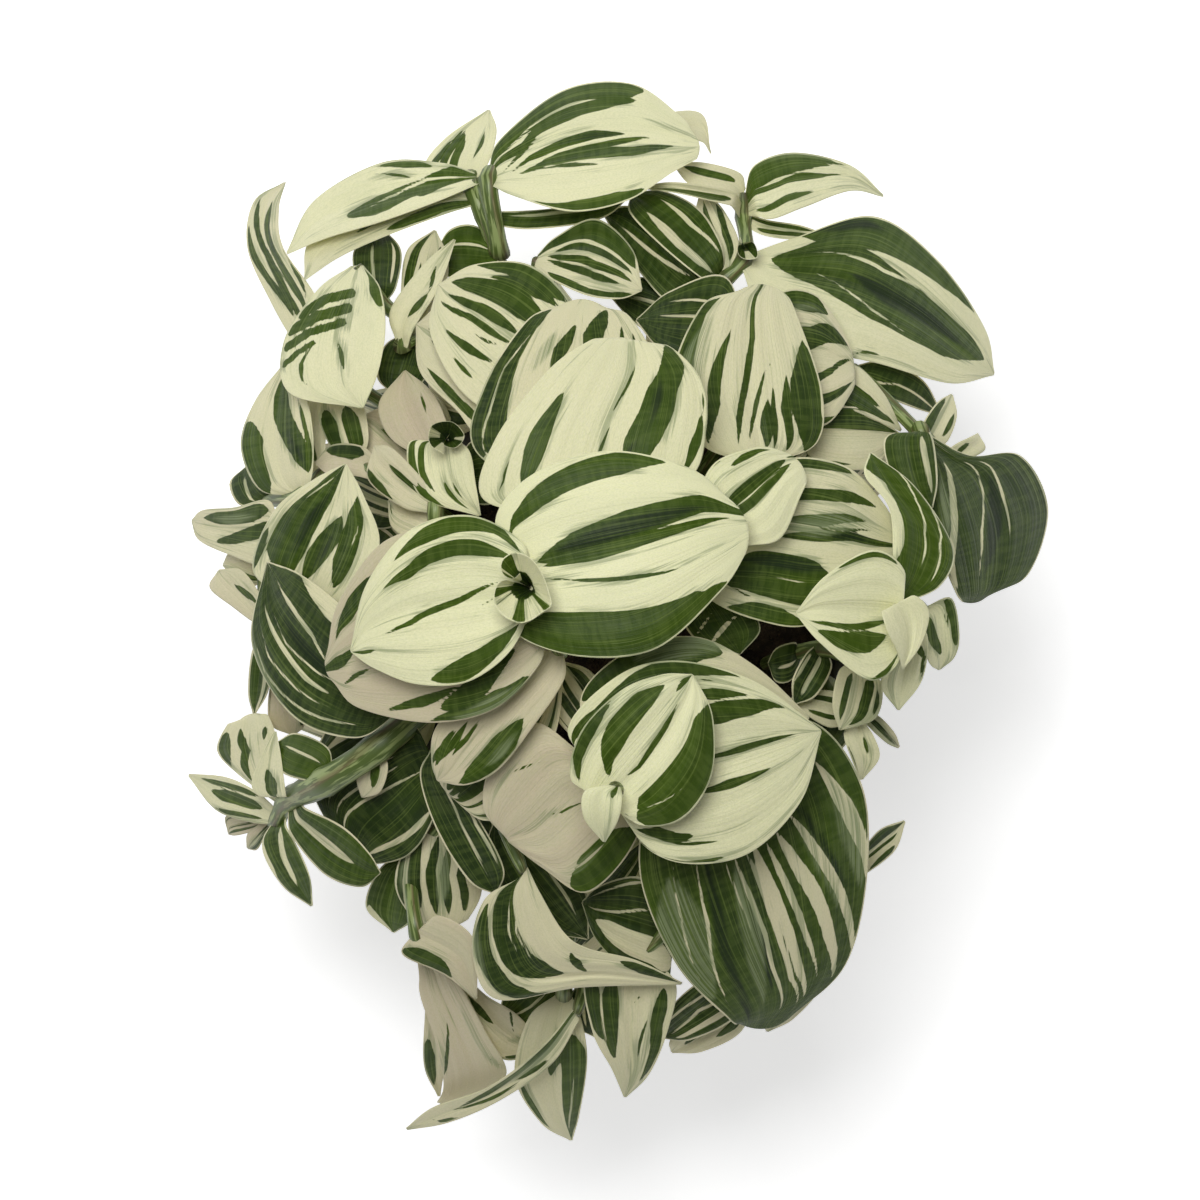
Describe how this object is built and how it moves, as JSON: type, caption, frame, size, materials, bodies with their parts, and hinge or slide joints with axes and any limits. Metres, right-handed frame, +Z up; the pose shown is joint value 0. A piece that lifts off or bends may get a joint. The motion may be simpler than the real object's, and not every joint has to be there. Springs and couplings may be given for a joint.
{
  "type": "potted plant",
  "caption": "Bushy trailing houseplant with cream and green striped leaves that mound over the rim of a round nursery pot, standing on its flat base.",
  "frame": {"origin": "middle of the pot's flat base, on the surface it stands on", "axes": "+Z up along the pot's axis; +Y towards the top edge of the picture, +X towards its right edge"},
  "size_m": [0.2178, 0.2673, 0.2191],
  "materials": {
    "pot": "matte moulded plastic",
    "soil": "damp peat with crumbs of bark",
    "foliage": "satin leaves striped cream and green along their length"
  },
  "bodies": {
    "root": {"pot": "pot", "soil": "soil", "stem_crown_left": "foliage", "stem_crown_front": "foliage", "stem_front_right_large": "foliage", "stem_crown_right": "foliage", "stem_crown_back": "foliage", "stem_back_left": "foliage", "stem_back_inner": "foliage", "stem_back_right": "foliage", "stem_back_right_low": "foliage", "stem_back_right_outer": "foliage", "stem_right_back": "foliage", "stem_right_rosette": "foliage", "stem_right_front": "foliage", "stem_front": "foliage", "stem_front_right": "foliage", "stem_right_corner": "foliage", "stem_front_inner": "foliage", "stem_front_left": "foliage", "stem_front_outer": "foliage", "stem_left_front_dark": "foliage", "stem_left_trailing": "foliage", "stem_left_front": "foliage", "stem_left_outer": "foliage", "stem_left": "foliage", "stem_left_back": "foliage", "stem_left_bud": "foliage", "stem_back_left_curled": "foliage", "stem_back_left_narrow": "foliage", "stem_back": "foliage"}
  },
  "joints": []
}
